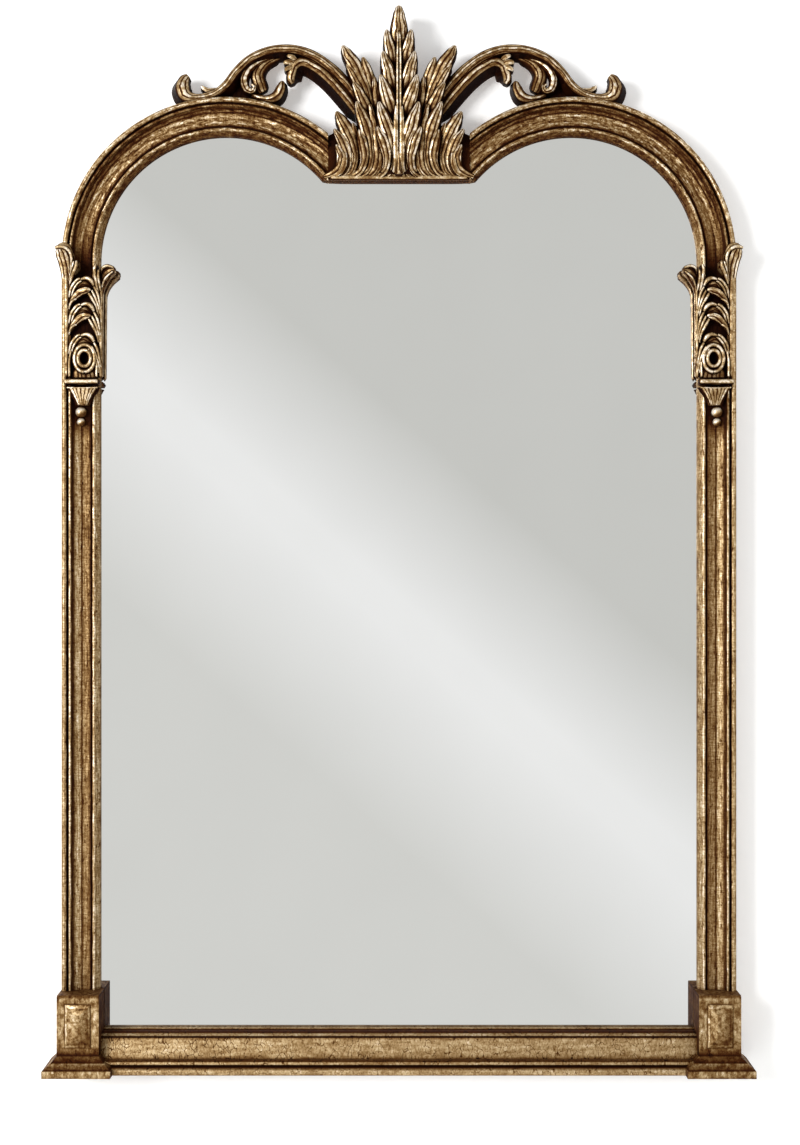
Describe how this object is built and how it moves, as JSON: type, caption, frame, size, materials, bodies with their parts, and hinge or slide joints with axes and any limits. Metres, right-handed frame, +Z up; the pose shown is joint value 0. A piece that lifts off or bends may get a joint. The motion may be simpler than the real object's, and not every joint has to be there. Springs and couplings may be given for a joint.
{
  "type": "vanity mirror",
  "caption": "Wall-hung gilded mirror with a double-arched moulded frame, carved leaf crest, scrolls and corbels, plinth feet, and a back held by turn buttons and D-ring hangers.",
  "frame": {"origin": "middle of the frame's back plane at the base line, where the hung mirror faces the wall", "axes": "+X to the viewer's right, +Z up, +Y out of the back towards the wall, so the glass faces -Y"},
  "size_m": [0.5946, 0.0596, 0.8977],
  "materials": {
    "gilt_wood": "antique gold leaf on wood, brown glaze in the recesses, fine crackle",
    "gilt_resin": "cast composition ornament, gold leaf rubbed pale on the high spots, dark glaze in the hollows",
    "mirror": "silvered float glass",
    "felt": "black felt tape",
    "card": "corrugated card sheet",
    "hardboard": "brown hardboard",
    "beech": "plain beech",
    "steel": "zinc plated steel",
    "brass": "brass plated steel",
    "rubber": "black rubber"
  },
  "bodies": {
    "frame": {"bottom_rail": "gilt_wood", "crest_block": "gilt_wood", "left_stile": "gilt_wood", "left_arch": "gilt_wood", "left_plinth": "gilt_wood", "left_plinth_tablet": "gilt_wood", "right_stile": "gilt_wood", "right_arch": "gilt_wood", "right_plinth": "gilt_wood", "right_plinth_tablet": "gilt_wood", "crest_centre_leaf": "gilt_resin", "left_crest_leaf": "gilt_resin", "left_crest_low_leaf": "gilt_resin", "left_outer_scroll": "gilt_resin", "left_inner_scroll": "gilt_resin", "left_volute": "gilt_resin", "left_corbel": "gilt_resin", "left_corbel_ledge": "gilt_resin", "left_corbel_drop": "gilt_resin", "left_corbel_beads": "gilt_resin", "right_crest_leaf": "gilt_resin", "right_crest_low_leaf": "gilt_resin", "right_outer_scroll": "gilt_resin", "right_inner_scroll": "gilt_resin", "right_volute": "gilt_resin", "right_corbel": "gilt_resin", "right_corbel_ledge": "gilt_resin", "right_corbel_drop": "gilt_resin", "right_corbel_beads": "gilt_resin", "mirror_glass": "mirror", "felt_tape": "felt", "cushion_sheet": "card", "backing_board": "hardboard", "frame_dowels": "beech", "crest_plate": "steel", "plate_screws": "steel", "crest_screws": "steel", "turn_button_screws": "steel", "hanger_screws": "steel", "carving_pins": "steel", "left_corner_brace": "steel", "left_stile_plate": "steel", "left_hanger_strap": "steel", "right_corner_brace": "steel", "right_stile_plate": "steel", "right_hanger_strap": "steel", "wall_bumpers": "rubber"},
    "left_lower_turn_button": {"left_lower_turn_button": "brass"},
    "left_upper_turn_button": {"left_upper_turn_button": "brass"},
    "left_arch_turn_button": {"left_arch_turn_button": "brass"},
    "left_rail_turn_button": {"left_rail_turn_button": "brass"},
    "right_lower_turn_button": {"right_lower_turn_button": "brass"},
    "right_upper_turn_button": {"right_upper_turn_button": "brass"},
    "right_arch_turn_button": {"right_arch_turn_button": "brass"},
    "right_rail_turn_button": {"right_rail_turn_button": "brass"},
    "left_d_ring": {"left_d_ring": "steel"},
    "right_d_ring": {"right_d_ring": "steel"}
  },
  "joints": [
    {"name": "left_lower_turn_button_swing", "type": "hinge", "parent": "frame", "child": "left_lower_turn_button", "pos_m": [-0.27365, 0.0008, 0.23], "axis": [0, 1, 0], "continuous": true},
    {"name": "left_upper_turn_button_swing", "type": "hinge", "parent": "frame", "child": "left_upper_turn_button", "pos_m": [-0.27365, 0.0008, 0.47], "axis": [0, 1, 0], "continuous": true},
    {"name": "left_arch_turn_button_swing", "type": "hinge", "parent": "frame", "child": "left_arch_turn_button", "pos_m": [-0.147, 0.0008, 0.81165], "axis": [0, 1, 0], "continuous": true},
    {"name": "left_rail_turn_button_swing", "type": "hinge", "parent": "frame", "child": "left_rail_turn_button", "pos_m": [-0.12, 0.0008, 0.012], "axis": [0, 1, 0], "continuous": true},
    {"name": "left_d_ring_swing", "type": "hinge", "parent": "frame", "child": "left_d_ring", "pos_m": [-0.27365, 0.0028, 0.608], "axis": [-1, 0, 0], "range_deg": [0, 170]},
    {"name": "right_lower_turn_button_swing", "type": "hinge", "parent": "frame", "child": "right_lower_turn_button", "pos_m": [0.27365, 0.0008, 0.23], "axis": [0, 1, 0], "continuous": true},
    {"name": "right_upper_turn_button_swing", "type": "hinge", "parent": "frame", "child": "right_upper_turn_button", "pos_m": [0.27365, 0.0008, 0.47], "axis": [0, 1, 0], "continuous": true},
    {"name": "right_arch_turn_button_swing", "type": "hinge", "parent": "frame", "child": "right_arch_turn_button", "pos_m": [0.147, 0.0008, 0.81165], "axis": [0, 1, 0], "continuous": true},
    {"name": "right_rail_turn_button_swing", "type": "hinge", "parent": "frame", "child": "right_rail_turn_button", "pos_m": [0.12, 0.0008, 0.012], "axis": [0, 1, 0], "continuous": true},
    {"name": "right_d_ring_swing", "type": "hinge", "parent": "frame", "child": "right_d_ring", "pos_m": [0.27365, 0.0028, 0.608], "axis": [-1, 0, 0], "range_deg": [0, 170]}
  ]
}
